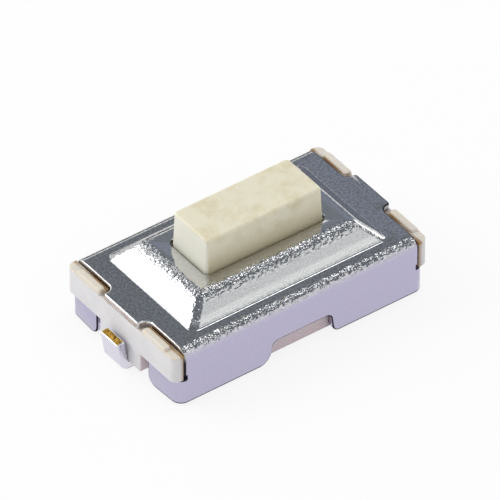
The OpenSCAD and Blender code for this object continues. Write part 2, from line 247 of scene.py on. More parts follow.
class SWITCH_PG_looks(bpy.types.PropertyGroup):
    """Colours and roughness of the finishes."""

    plate: colour("Cover", "Plated steel of the cover's top", (0.64, 0.64, 0.65))
    # Painted reflection: the walls and flaps get a darker lavender copy of the plate's tone
    plate_wall: colour("Cover walls", "Plated steel of its walls and flaps", (0.49, 0.462, 0.61))
    plate_rough: share("Cover roughness", "Roughness of the flat border", 0.09)
    slope_rough: share("Slope roughness", "Roughness of the crown's drawn slopes", 0.26)
    # Painted shade of the cut edges low down and at the far end, and painted highlight of the border's
    # cut edges
    edge_low: colour("Lower edges", "Cut edges near the floor", (0.05, 0.045, 0.06))
    edge_high: colour("Upper edges", "Cut edges of the border", (0.85, 0.85, 0.84))
    moulding: colour("Base", "White moulding", (0.76, 0.75, 0.76))
    moulding_warm: colour("Base tops", "Moulding on top of the lugs", (0.76, 0.70, 0.60))
    # Painted amber shade in the gaps, seams and ledges beside the cover
    moulding_gap: colour("Base gaps", "Moulding in the gaps beside the cover", (0.36, 0.21, 0.08))
    moulding_side: colour("Base side", "Moulding in the windows of the cover", (0.72, 0.61, 0.64))
    cream: colour("Button", "Cream moulding", (0.83, 0.79, 0.62))
    # Painted light on the button's ends
    cream_end: colour("Button end", "Paler cream at the ends of the button", (0.84, 0.84, 0.74))
    # Painted shade at the foot of the button's long sides
    cream_foot: colour("Button foot", "Foot of the button's long sides", (0.60, 0.54, 0.37))
    cream_deep: colour("Button mottle", "Deeper tone of the cream moulding", (0.74, 0.67, 0.47))
    silver: colour("Silver plate", "Plating of the terminals", (0.73, 0.71, 0.80))
    brass: colour("Bare brass", "Cut edge of a terminal", (0.60, 0.34, 0.04))
    dome: colour("Dome", "Steel of the contact dome", (0.62, 0.62, 0.60))


class SWITCH_PG_stage(bpy.types.PropertyGroup):
    """Camera, floor and light."""

    azimuth: angle("Azimuth", "Camera's angle round the switch", -36.4)
    elevation: angle("Elevation", "Camera's angle above the floor", 40.3)
    distance: length("Distance", "Camera's distance", 200)
    field: length("Field", "Width of the picture at the switch", 9.542)
    shift_right: length("Aim right", "Picture's middle to the right of the seating plane's", 0.045)
    shift_up: length("Aim up", "Picture's middle above the seating plane's", 0.954)
    ambient: share("Ambient", "Strength of the soft light from all round", 0.61)
    floor: colour("Floor", "Colour of the floor", (0.97, 0.97, 0.98))


def in_mm(group):
    """The sizes of a property group in millimetres, and its angles in radians."""
    found = SimpleNamespace()
    for name in group.__annotations__:
        value = getattr(group, name)
        if group.bl_rna.properties[name].unit == "LENGTH":
            value = box_mm(value)
        setattr(found, name, value)
    return found


def box_mm(value):
    """A length or a coordinate of the frame in millimetres."""
    return round(value / MM, 4)


def at(value):
    """A span that holds one value."""
    return (value, value)


def within(x=ALL_ROUND, y=ALL_ROUND, z=ANY_HEIGHT, corner=None):
    """A test: all points lie in these spans of |x|, |y| and z, and on one side of the middle
    for any span that begins away from it. With corner, a pair of signs, only that corner of
    the switch counts, and a sign of 0 takes both sides."""

    def test(points):
        for axis, (low, high) in enumerate((x, y, z)):
            values = [p[axis] for p in points]
            if axis < 2:
                if low > SLACK and min(values) * max(values) < 0:
                    return False
                if corner and corner[axis] and any(v * corner[axis] < 0 for v in values):
                    return False
                values = [abs(v) for v in values]
            if min(values) < low - SLACK or max(values) > high + SLACK:
                return False
        return True

    return test


def clear_selection():
    """Back to object mode with nothing selected."""
    if bpy.context.mode != "OBJECT":
        bpy.ops.object.mode_set(mode="OBJECT")
    bpy.ops.object.select_all(action="DESELECT")


def select_only(piece):
    """Back to object mode with one piece selected."""
    clear_selection()
    bpy.context.view_layer.objects.active = piece
    piece.select_set(True)


def open_all(piece):
    """Open a piece in edit mode with all of it selected."""
    select_only(piece)
    bpy.ops.object.mode_set(mode="EDIT")
    bpy.ops.mesh.select_all(action="SELECT")


def open_new(name):
    """Name the primitive just added, apply its place and size, and open it in edit mode."""
    piece = bpy.context.active_object
    piece.name = piece.data.name = name
    bpy.ops.object.transform_apply(location=True, rotation=False, scale=True)
    bpy.ops.object.mode_set(mode="EDIT")
    return piece


def start_block(name, low, high):
    """Start a piece from a block between two corners, in millimetres."""
    clear_selection()
    middle = [(a + b) / 2 for a, b in zip(low, high)]
    bpy.ops.mesh.primitive_cube_add(size=1, location=middle, scale=[b - a for a, b in zip(low, high)])
    return open_new(name)


def start_post(name, radius, low_z, high_z, sides=48):
    """Start a piece from an upright post at the origin, in millimetres."""
    clear_selection()
    bpy.ops.mesh.primitive_cylinder_add(
        vertices=sides, radius=radius, depth=high_z - low_z, location=(0, 0, (low_z + high_z) / 2)
    )
    return open_new(name)


def pick(kind, *tests):
    """Select what passes any of the tests, and nothing else."""
    bpy.ops.mesh.select_mode(type=kind)
    bpy.ops.mesh.select_all(action="DESELECT")
    mesh = bmesh.from_edit_mesh(bpy.context.edit_object.data)
    elements = {"VERT": mesh.verts, "EDGE": mesh.edges, "FACE": mesh.faces}[kind]
    found = False
    for element in elements:
        points = [element.co] if kind == "VERT" else [v.co for v in element.verts]
        if any(test(points) for test in tests):
            element.select_set(True)
            found = True
    mesh.select_flush_mode()
    bmesh.update_edit_mesh(bpy.context.edit_object.data)
    if not found:
        raise RuntimeError(f"{bpy.context.edit_object.name}: nothing to select")


def cut(test, axis, value):
    """Cut the faces that pass the test along a plane, and along its mirror image for x and y."""
    for side in (1, -1) if axis in "xy" else (1,):
        pick("FACE", test)
        bpy.ops.mesh.bisect(plane_co=AXES[axis] * value * side, plane_no=AXES[axis], threshold=MERGE)


def cut_out(*tests):
    """Delete the faces that pass any of the tests."""
    pick("FACE", *tests)
    bpy.ops.mesh.delete(type="FACE")


def extrude(x=0.0, y=0.0, z=0.0):
    """Extrude what is selected by a step in millimetres."""
    bpy.ops.mesh.extrude_region_move(TRANSFORM_OT_translate={"value": (x, y, z)})


def pull(*tests, **step):
    """Extrude the faces that pass any of the tests."""
    pick("FACE", *tests)
    extrude(**step)


def scale_from(centre, x=1.0, y=1.0):
    """Scale what is selected about a point."""
    bpy.ops.transform.resize(value=(x, y, 1), center_override=centre)


def draw_to(start, end):
    """Extrude the selected oblong from one half length, half width and height to the next."""
    extrude(z=end[2] - start[2])
    scale_from((0, 0, end[2]), x=end[0] / start[0], y=end[1] / start[1])
    return end


def bevel(width, steps, **settings):
    """Bevel the selected edges into arcs."""
    bpy.ops.mesh.bevel(offset_type="OFFSET", offset=width, segments=steps, profile=0.5, **settings)


def round_edges(width, *tests, steps=6):
    """Round the edges that pass any of the tests."""
    pick("EDGE", *tests)
    bevel(width, steps, clamp_overlap=True)


def apply_modifier(piece, kind, **settings):
    """Add a modifier to a piece, set it and apply it."""
    select_only(piece)
    modifier = piece.modifiers.new(kind.lower(), kind)
    for key, value in settings.items():
        setattr(modifier, key, value)
    bpy.ops.object.modifier_apply(modifier=modifier.name)


def clean_up(piece):
    """Open a piece in edit mode, merge its doubles and turn its normals outward."""
    open_all(piece)
    bpy.ops.mesh.remove_doubles(threshold=SLACK)
    bpy.ops.mesh.normals_make_consistent(inside=False)


def soften(piece, width, steps, material=-1, leave=lambda points: False):
    """Round a piece's sharp edges, apart from those that pass the test leave."""
    clean_up(piece)
    bpy.ops.mesh.select_mode(type="EDGE")
    bpy.ops.mesh.select_all(action="DESELECT")
    mesh = bmesh.from_edit_mesh(piece.data)
    for edge in mesh.edges:
        sharp = edge.is_manifold and edge.calc_face_angle() > SHARP
        if sharp and not leave([v.co for v in edge.verts]):
            edge.select_set(True)
    mesh.select_flush_mode()
    bmesh.update_edit_mesh(piece.data)
    bevel(width, steps, clamp_overlap=False, material=material)
    clean_up(piece)
    clear_selection()


def combine(piece, other, operation):
    """Add another solid to a piece or take it away, and remove the other one."""
    apply_modifier(piece, "BOOLEAN", object=other, operation=operation, solver="EXACT")
    bpy.data.objects.remove(other)


def finish_piece(piece, body, node, slot_name, *materials):
    """Smooth the shading, bring a piece from millimetres to metres and hand it to the frame."""
    select_only(piece)
    piece.scale = (MM, MM, MM)
    bpy.ops.object.transform_apply(location=True, rotation=True, scale=True)
    bpy.ops.object.shade_smooth_by_angle(angle=SMOOTH)
    apply_modifier(piece, "WEIGHTED_NORMAL", mode="FACE_AREA", weight=90, keep_sharp=True)
    for material in materials:
        piece.data.materials.append(material)
    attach(piece, body)
    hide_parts(node)
    clear_selection()


def flap_place(c):
    """Where a flap's bend begins and where the outer face of its tip ends, as distances from
    the middle planes."""
    turn = c.flap_angle
    tip_x = box_mm(BASE_HIGH.x) - c.flap_recess
    bend_x = tip_x - c.flap_bend * math.sin(turn) - c.flap_flat * math.cos(turn)
    bend_y = box_mm(COVER_HIGH.y) - c.flap_bend
    tip_y = bend_y + c.flap_bend * math.cos(turn) - c.flap_flat * math.sin(turn)
    return round(bend_x, 5), round(bend_y, 5), tip_x, tip_y


def make_cover(c):
    """Fold and draw the cover from one sheet."""
    wall_y, tongue_x = box_mm(COVER_HIGH.y), box_mm(COVER_HIGH.x)
    foot_z, crown_z = box_mm(COVER_LOW.z), box_mm(COVER_HIGH.z)
    crown_x, crown_y = c.crest_x + c.run_x, c.crest_y + c.run_y
    inner_y, under_z = wall_y - c.sheet, c.border_z - c.sheet
    flap_z = foot_z + c.flap_h
    bend_x, bend_y, tip_x, tip_y = flap_place(c)
    top, wall = at(c.border_z), at(wall_y)

    piece = start_block("cover_sheet", (-c.border_x, -wall_y, foot_z), (c.border_x, wall_y, c.border_z))
    cut_out(within(z=at(foot_z)), within(x=at(c.border_x)))

    # Crown with its round foot, and its opening
    foot = (crown_x + c.foot_round, crown_y + c.foot_round, c.border_z)
    cut(within(z=top), "x", foot[0])
    cut(within(z=top), "y", foot[1])
    pick("FACE", within(x=(0, foot[0]), y=(0, foot[1]), z=top))
    spot = foot
    for step in FOOT_STEPS:
        out, rise = c.foot_round * (1 - step) ** 2, FOOT_RISE * c.foot_round * step**2
        back = rise / (crown_z - c.border_z)
        reach = [far + out - run * back for far, run in ((crown_x, c.run_x), (crown_y, c.run_y))]
        spot = draw_to(spot, (*reach, c.border_z + rise))
    draw_to(spot, (c.crest_x, c.crest_y, crown_z))
    margin = c.crest_y - c.hole_y
    bpy.ops.mesh.inset(thickness=margin)
    scale_from((0, 0, crown_z), x=c.hole_x / (c.crest_x - margin))
    bpy.ops.mesh.delete(type="FACE")

    # Tongues
    cut(within(x=(foot[0], c.border_x), z=top), "y", c.tongue_y)
    for side in (-1, 1):
        pick("EDGE", within(x=at(c.border_x), y=(0, c.tongue_y), z=top, corner=(side, 0)))
        extrude(x=side * (tongue_x - c.border_x))

    # Windows
    cut(within(y=wall), "x", c.window_x)
    cut(within(x=(0, c.window_x), y=wall), "z", foot_z + c.window_h)
    cut_out(within(x=(0, c.window_x), y=wall, z=(foot_z, foot_z + c.window_h)))

    # Flaps
    past_bend = dict(x=(bend_x, c.border_x), y=wall)
    cut(within(x=(c.window_x, c.border_x), y=wall), "x", bend_x)
    cut(within(**past_bend), "z", flap_z)
    cut(within(z=(flap_z, c.border_z), **past_bend), "z", flap_z + c.relief)
    cut_out(within(z=(foot_z, flap_z + c.relief), **past_bend))
    for side_x, side_y in CORNERS:
        pick("EDGE", within(x=at(bend_x), y=wall, z=(foot_z, flap_z), corner=(side_x, side_y)))
        bpy.ops.mesh.spin(
            steps=BEND_STEPS,
            angle=side_x * side_y * c.flap_angle,
            center=(side_x * bend_x, side_y * bend_y, 0),
            axis=AXES["z"],
        )
        extrude(
            x=side_x * c.flap_flat * math.cos(c.flap_angle),
            y=-side_y * c.flap_flat * math.sin(c.flap_angle),
        )

    # Thickness
    pick("VERT", within(y=wall, z=top))
    bpy.ops.transform.translate(value=(0, 0, -c.droop))
    clean_up(piece)
    apply_modifier(
        piece,
        "SOLIDIFY",
        solidify_mode="NON_MANIFOLD",
        nonmanifold_thickness_mode="CONSTRAINTS",
        nonmanifold_merge_threshold=MERGE,
        thickness=c.sheet,
        offset=-1,
    )
    bpy.ops.object.mode_set(mode="EDIT")

    # Corners that run through the sheet's thickness
    through, sheet = (inner_y, wall_y), (under_z, c.border_z)
    round_edges(c.window_round, within(x=at(c.window_x), y=through, z=at(foot_z + c.window_h)))
    for radius, side in ((c.left_leg, 1), (c.right_leg, -1)):
        leg = dict(x=at(c.window_x), y=through, z=at(foot_z))
        round_edges(radius, within(corner=(side, 1), **leg), within(corner=(-side, -1), **leg), steps=8)
    round_edges(c.tongue_fillet, within(x=at(c.border_x), y=at(c.tongue_y), z=sheet))
    round_edges(c.tongue_corner, within(x=at(tongue_x), y=at(c.tongue_y), z=sheet), steps=4)
    round_edges(c.hole_round, within(x=at(c.hole_x), y=at(c.hole_y), z=(crown_z - c.sheet, crown_z)))
    tip = dict(x=(tip_x - c.sheet, tip_x), y=(tip_y - c.sheet, tip_y + SLACK))
    round_edges(c.flap_round, within(z=at(foot_z), **tip))

    # Bends, crests and the rim of the opening
    round_edges(c.bend, within(y=wall, z=at(c.border_z - c.droop)), steps=10)
    round_edges(c.bend - c.sheet, within(y=at(inner_y), z=(under_z - c.droop, under_z)), steps=4)
    round_edges(
        c.crest_round,
        within(x=at(c.crest_x), y=(0, c.crest_y), z=at(crown_z)),
        within(x=(0, c.crest_x), y=at(c.crest_y), z=at(crown_z)),
        within(x=(c.crest_x, foot[0]), y=(c.crest_y, foot[1]), z=(c.border_z, crown_z)),
    )
    rims = [within(x=(0, c.hole_x), y=(0, c.hole_y), z=at(z)) for z in (crown_z, crown_z - c.sheet)]
    round_edges(c.hole_edge, *rims, steps=2)
    return piece


def make_strip(t, floor_z):
    """A terminal's strip from its turned-up tab in to the level of the cavity's floor."""
    turn = math.pi / 2 - t.lean
    foot_x = t.bend_x - t.foot
    rise = box_mm(TERMINAL_HIGH.z) - t.bend + (t.bend - t.strip) * math.cos(turn)
    piece = start_block("strip", (foot_x, -t.half_y, 0), (t.bend_x, t.half_y, t.strip))
    pick("FACE", within(x=at(t.bend_x)))
    bpy.ops.mesh.spin(steps=BEND_STEPS, angle=turn, center=(t.bend_x, 0, t.bend), axis=AXES["y"])
    extrude(x=rise / math.tan(turn), z=rise)
    pull(within(x=at(foot_x)), x=-t.joggle, z=floor_z - t.strip)
    extrude(x=t.prong_x - (foot_x - t.joggle))
    return piece


def make_common(t, floor_z):
    """The common terminal: a fork whose two prongs carry the dome."""
    piece = make_strip(t, floor_z)
    level = (floor_z - t.strip, floor_z)
    bar_x, inner = t.prong_x - t.bar, t.prong_y - t.prong
    pull(within(x=at(t.prong_x), z=level), x=-t.bar)
    for side in (-1, 1):
        bar = within(x=(bar_x, t.prong_x), y=at(t.half_y), z=level, corner=(0, side))
        pull(bar, y=side * (inner - t.half_y))
        extrude(y=side * t.prong)
    pull(within(x=at(bar_x), y=(inner, t.prong_y), z=level), x=-t.prong_x - bar_x)
    return piece


def make_centre(t, floor_z):
    """The centre terminal: a strip that ends in a round pad with a raised boss."""
    piece = make_strip(t, floor_z)
    level = (floor_z - t.strip, floor_z)
    cut(within(x=at(t.prong_x), z=level), "y", t.tongue_y)
    pull(within(x=at(t.prong_x), y=(0, t.tongue_y), z=level), x=-t.prong_x)
    combine(piece, start_post("pad", t.pad, *level), "UNION")
    combine(piece, start_post("boss", t.boss, floor_z - t.boss_h, floor_z + t.boss_h), "UNION")
    open_all(piece)
    bpy.ops.transform.rotate(value=math.pi, orient_axis="Z", center_override=(0, 0, 0))
    bpy.ops.mesh.normals_make_consistent(inside=False)
    return piece


def make_base(b, t):
    """Mould the base and seat both terminals in it."""
    end_x, lug_y = box_mm(BASE_HIGH.x), box_mm(BASE_HIGH.y)
    foot_z, pad_z, top = box_mm(BASE_LOW.z), box_mm(BASE_HIGH.z), b.top_z
    low = (-end_x, -b.side_y, b.lug_z)
    piece = start_block("base_moulding", low, (end_x, b.side_y, top))

    # Corner lugs, which reach out past the ends of the cover's walls
    lug = (b.lug_x, end_x)
    cut(within(), "x", b.lug_x)
    for side in (-1, 1):
        pull(within(x=lug, y=at(b.side_y), corner=(0, side)), y=side * (lug_y - b.side_y))
    round_edges(b.corner, within(x=at(end_x), y=at(lug_y)), steps=8)
    cut(within(x=lug, z=at(top)), "y", b.pad_in)
    pull(within(x=lug, y=(b.pad_in, lug_y), z=at(top)), z=b.lug_top - top)

    # Core between the flaps, and the block at each end that carries a terminal
    core, end, under = (0, b.core_x), (b.core_x, end_x), at(b.lug_z)
    cut(within(z=under), "x", b.core_x)
    cut(within(x=end, z=under), "y", b.block_y)
    pull(within(x=core, z=under), within(x=end, y=(0, b.block_y), z=under), z=t.strip - b.lug_z)
    pull(within(x=core, z=at(t.strip)), z=foot_z - t.strip)
    round_edges(b.core_round, within(x=at(b.core_x), y=at(b.side_y), z=(foot_z, b.lug_z)), steps=5)

    # Raised pads on the lugs
    pad, sides, upright = (b.pad_x, end_x), (b.pad_in, b.pad_out), (b.lug_top, pad_z)
    cut(within(x=lug, z=at(b.lug_top)), "x", b.pad_x)
    cut(within(x=pad, z=at(b.lug_top)), "y", b.pad_out)
    pull(within(x=pad, y=sides, z=at(b.lug_top)), z=pad_z - b.lug_top)
    round_edges(b.pad_corner, *(within(x=at(b.pad_x), y=at(y), z=upright) for y in sides))
    round_edges(b.pad_round, *(within(x=at(end_x), y=at(y), z=upright) for y in sides), steps=4)
    round_edges(b.pad_round, within(x=pad, y=sides, z=at(pad_z)), steps=4)
    round_edges(
        b.lug_round,
        within(x=(end_x - b.corner, end_x), y=(lug_y - b.corner, lug_y), z=at(b.lug_top)),
        within(x=at(end_x), y=(b.pad_out, lug_y), z=at(b.lug_top)),
        within(x=lug, y=at(lug_y), z=at(b.lug_top)),
        steps=4,
    )

    # Cavity for the dome and the button's flange
    cut(within(x=(0, b.lug_x), z=at(top)), "x", b.cavity_x)
    cut(within(x=(0, b.cavity_x), z=at(top)), "y", b.cavity_y)
    pull(within(x=(0, b.cavity_x), y=(0, b.cavity_y), z=at(top)), z=b.floor_z - top)
    corner = within(x=at(b.cavity_x), y=at(b.cavity_y), z=(b.floor_z, top))
    round_edges(b.cavity_round, corner, steps=8)

    def on_lug(points):
        """A test: an edge of a lug's top or underside, too short in places to be rounded."""
        middle = (points[0].z + points[1].z) / 2
        return middle > top + NEAR or abs(middle - b.lug_z) < NEAR

    soften(piece, b.soft, 4, leave=on_lug)
    combine(piece, make_common(t, b.floor_z), "DIFFERENCE")
    combine(piece, make_centre(t, b.floor_z), "DIFFERENCE")
    clean_up(piece)
    bpy.ops.mesh.fill_holes(sides=3)
    return piece


def make_button(s):
    """Mould the stem with its flange and nib."""
    top_z, nib_z, crown_z = box_mm(BUTTON_HIGH.z), box_mm(BUTTON_LOW.z), box_mm(COVER_HIGH.z)
    flange_x, flange_y = box_mm(BUTTON_HIGH.x), box_mm(BUTTON_HIGH.y)
    low = (-s.half_x, -s.half_y, s.flange_top)
    piece = start_block("button_stem", low, (s.half_x, s.half_y, crown_z))
    round_edges(s.upright, within(x=at(s.half_x), y=at(s.half_y)))
    pick("FACE", within(z=at(crown_z)))
    draw_to((s.half_x, s.half_y, crown_z), (s.half_x - s.draft, s.half_y - s.draft, top_z))
    round_edges(s.rim, within(z=at(top_z)), steps=4)
    pull(within(z=at(s.flange_top)))
    scale_from((0, 0, s.flange_top), x=flange_x / s.half_x, y=flange_y / s.half_y)
    extrude(z=-s.flange)
    nib = start_post("nib", s.nib, nib_z, s.flange_top - s.flange / 2)
    round_edges(s.nib_round, within(z=at(nib_z)), steps=5)
    combine(piece, nib, "UNION")
    return piece


class Graph:
    """The node graph of a material or of the world."""

    def __init__(self, owner):
        owner.use_nodes = True
        self.owner = owner
        self.nodes = owner.node_tree.nodes
        self.links = owner.node_tree.links

    def feed(self, socket, value):
        """Give a socket a number, a colour or another socket's result."""
        if isinstance(value, bpy.types.NodeSocket):
            self.links.new(value, socket)
        else:
            socket.default_value = (*value, 1) if socket.type == "RGBA" else value

    def fill(self, node, **inputs):
        """Set a node's inputs, named with underscores for spaces."""
        for name, value in inputs.items():
            self.feed(node.inputs[name.replace("_", " ")], value)

    def add(self, kind, result, settings=None, **inputs):
        """Add a node of a kind with its settings and inputs, and return one of its results."""
        node = self.nodes.new(kind)
        for name, value in (settings or {}).items():
            setattr(node, name, value)
        self.fill(node, **inputs)
        return node.outputs[result]

    def math(self, operation, first, *others):
        """Work out some values from left to right."""
        for other in others or (None,):
            node = self.nodes.new("ShaderNodeMath")
            node.operation = operation
            self.feed(node.inputs[0], first)
            if other is not None:
                self.feed(node.inputs[1], other)
            first = node.outputs["Value"]
        return first

    times = partialmethod(math, "MULTIPLY")
    over = partialmethod(math, "DIVIDE")
    plus = partialmethod(math, "ADD")
    less = partialmethod(math, "SUBTRACT")
    most = partialmethod(math, "MAXIMUM")
    size = partialmethod(math, "ABSOLUTE")


class Finish(Graph):
    """A piece's material. Places are in millimetres on the piece."""

    def __init__(self, name):
        super().__init__(bpy.data.materials.new(name))
        place = self.add("ShaderNodeTexCoord", "Object")
        scale = (1 / MM, 1 / MM, 1 / MM)
        self.place = self.add("ShaderNodeMapping", "Vector", Vector=place, Scale=scale)
        split = self.add("ShaderNodeSeparateXYZ", "X", Vector=self.place).node
        self.x, self.y, self.z = (split.outputs[axis] for axis in "XYZ")

    def ramp(self, value, low, high, start=0.0, end=1.0):
        """A smooth step of a value from start at low to end at high."""
        ends = dict(From_Min=low, From_Max=high, To_Min=start, To_Max=end)
        smooth = {"interpolation_type": "SMOOTHSTEP"}
        return self.add("ShaderNodeMapRange", "Result", smooth, Value=value, **ends)

    def fade(self, value, low, high):
        """A smooth step of a value from 1 at low to 0 at high."""
        return self.ramp(value, low, high, 1, 0)

    def noise(self, per_mm, detail=3.0, rough=0.5, stretch=(1, 1, 1)):
        """Noise with about that many lumps a millimetre, longer along an axis with a small stretch."""
        place = self.add("ShaderNodeMapping", "Vector", Vector=self.place, Scale=stretch)
        lumps = dict(Scale=per_mm, Detail=detail, Roughness=rough)
        return self.add("ShaderNodeTexNoise", "Fac", Vector=place, **lumps)

    def mix(self, factor, first, second):
        """Mix two colours."""
        colours = {"data_type": "RGBA"}
        return self.add("ShaderNodeMix", "Result", colours, Factor=factor, A=first, B=second)

    def bump(self, height, depth, strength=1.0, **under):
        """Bump of a height from 0 to 1 that is depth millimetres deep, on a Normal if one is given."""
        relief = dict(Distance=depth * MM, Strength=strength, Height=height)
        return self.add("ShaderNodeBump", "Normal", **relief, **under)

    def shade(self, tint, **inputs):
        """Set the shader and return the material."""
        self.fill(self.nodes["Principled BSDF"], Base_Color=tint, **inputs)
        return self.owner

    def metal(self, tint, skin, rough, depth, strength, **others):
        """A metal whose relief and roughness, a pair of limits, follow one noise."""
        inputs = dict(Metallic=1.0, Roughness=self.ramp(skin, 0.3, 0.7, *rough)) | others
        return self.shade(tint, Normal=self.bump(skin, depth, strength), **inputs)

    def plastic(self, tint, grain, rough, weight, radius):
        """A moulding that lets in some light. Its roughness, a pair of limits, follows its grain."""
        return self.shade(
            tint,
            Roughness=self.ramp(grain, 0.2, 0.8, *rough),
            Subsurface_Weight=weight,
            Subsurface_Radius=radius,
            Subsurface_Scale=0.1 * MM,
            Normal=self.bump(grain, depth=0.006, strength=0.3),
        )


def plated_sheet(c, looks):
    """Bright plated sheet: clear on the flat border, satin on the drawn slopes, grainy where bent."""
    g = Finish("plated_sheet")
    wall_y, tongue_x = box_mm(COVER_HIGH.y), box_mm(COVER_HIGH.x)
    crown_z, hem_z = box_mm(COVER_HIGH.z), box_mm(COVER_LOW.z) + c.edge
    # Zones of the grain, in millimetres apart from the hips', and what is left on the far sides
    crest_zone, hip_zone, fold_zone = (0.1, 0.16), (0.2, 0.36), (0.17, 0.25)
    far_grain, far_fold, right_satin = 0.1, 0.05, 0.12
    # Mottle on the walls, the top, the slopes and the crown, and the least of it on the slopes
    on_walls, on_top, on_slopes, on_crown, least = 0.05, 0.42, 0.28, 0.3, 0.11

    # How far a point lies outside the crest, and on which side of the crown
    over_x, over_y = g.less(g.size(g.x), c.crest_x), g.less(g.size(g.y), c.crest_y)
    past = g.most(over_x, over_y)
    across = g.less(g.over(over_x, c.run_x), g.over(over_y, c.run_y))
    raised = g.ramp(g.z, c.border_z + 0.02, c.border_z + 0.08)
    right = g.times(g.ramp(across, -0.3, 0), g.ramp(g.x, 0, 0.1))
    far = g.times(g.fade(across, -0.5, -0.1), g.ramp(g.y, 0, 0.1))
    slope = g.times(g.ramp(past, 0.02, 0.1), raised, g.ramp(right, 0, 1, 1, right_satin))

    # Where the sheet was stretched: along the crest and the hips, and in the long bends
    crest = g.times(g.fade(g.size(past), *crest_zone), raised)
    hip = g.times(g.fade(g.size(across), *hip_zone), raised, g.ramp(past, 0, 0.02))
    drawn = g.times(g.most(crest, hip), g.ramp(g.most(right, far), 0, 1, 1, far_grain))
    fold = g.plus(g.less(wall_y, g.size(g.y)), g.less(c.border_z, g.z))
    fold = g.times(g.fade(fold, *fold_zone), g.ramp(g.y, -1.2, 1.2, 1, far_fold))
    stretched = g.most(drawn, fold)

    # Relief and roughness
    peel, pits = g.noise(14, detail=1.5), g.noise(17, detail=1)
    speckle, skin = g.noise(26, detail=2), g.noise(20)
    normal = g.bump(skin, depth=0.005, strength=0.06)
    normal = g.bump(speckle, depth=0.008, strength=g.times(slope, 0.3), Normal=normal)
    normal = g.bump(peel, depth=0.03, strength=stretched, Normal=normal)
    rough = g.plus(looks.plate_rough, g.times(slope, looks.slope_rough - looks.plate_rough))
    rough = g.times(rough, g.ramp(stretched, 0, 1, 1, 0.6))

    # Tint of the walls, a darker lavender copy of the plate as painted reflection; painted shade and
    # reflection on the tongues' cut ends; painted shade along the walls' lower rim
    above = g.ramp(g.z, c.border_z - 0.2, c.border_z - 0.02)
    tint = g.mix(above, looks.plate_wall, looks.plate)
    # Painted shade and painted reflection of the ledge below, on the tongues' cut ends
    tip = g.ramp(g.size(g.x), tongue_x - 0.015, tongue_x - 0.005)
    tip = g.times(tip, g.fade(g.z, c.border_z - 0.05, c.border_z - 0.02))
    tint = g.mix(tip, tint, TONGUE_TIP_SHADE)
    # Painted shade: a dark line along the walls' lower rim, where they meet the floor
    tint = g.mix(g.ramp(g.z, hem_z + 0.004, hem_z + 0.022, 0.75, 0), tint, looks.edge_low)

    # Mottle, even on the slopes and weak on the crown's top, and pits where the plating is worn
    worn = g.times(g.ramp(pits, 0.52, 0.66), stretched, above, 0.6)
    mottle = g.times(g.ramp(skin, 0.35, 0.65), g.ramp(above, 0, 1, on_walls, on_top))
    mottle = g.plus(g.times(mottle, g.ramp(slope, 0, 1, 1, on_slopes)), g.times(slope, least))
    mottle = g.times(mottle, g.ramp(g.z, crown_z - 0.02, crown_z - 0.005, 1, on_crown))
    tint = g.mix(g.most(mottle, worn), tint, TARNISH_AND_SHADE)

    # Foot of the near slope: a band of painted highlight, and a thin line of painted shade under it
    near, foot = g.times(raised, g.ramp(g.y, 0, -0.1)), c.run_y
    highlight_band = g.times(g.ramp(past, foot - 0.16, foot - 0.11), g.fade(past, foot - 0.06, foot - 0.03))
    crease_shade = g.times(g.ramp(past, foot - 0.045, foot - 0.03), g.fade(past, foot - 0.02, foot - 0.005))
    tint = g.mix(g.times(highlight_band, near, 0.45), tint, SLOPE_HIGHLIGHT)
    tint = g.mix(g.times(crease_shade, near, 0.55), tint, TARNISH_AND_SHADE)
    return g.shade(tint, Metallic=1.0, Roughness=rough, Normal=normal)


def sheared_edge(looks):
    """Cut edges of the sheet: a painted highlight on the near border, painted shade near the floor and
    at the far end.
    """
    g = Finish("sheared_edge")
    burr = g.noise(12, rough=0.6)
    border_zone, near_zone, side_zone = (1.0, 1.2), (2.2, 2.6), (0.62, 0.8)
    # Painted highlight on the near border's cut edges and painted shade on the rest; beside the tongues
    # the highlight is dimmed
    bright = g.times(g.ramp(g.z, *border_zone), g.fade(g.x, *near_zone))
    beside = g.ramp(g.size(g.y), *side_zone, 0, 0.55)
    tint = g.mix(bright, looks.edge_low, g.mix(beside, looks.edge_high, DIMMED_HIGHLIGHT))
    others = dict(Metallic=bright, Specular_IOR_Level=0)
    return g.metal(tint, burr, (0.2, 0.4), depth=0.01, strength=0.4, **others)


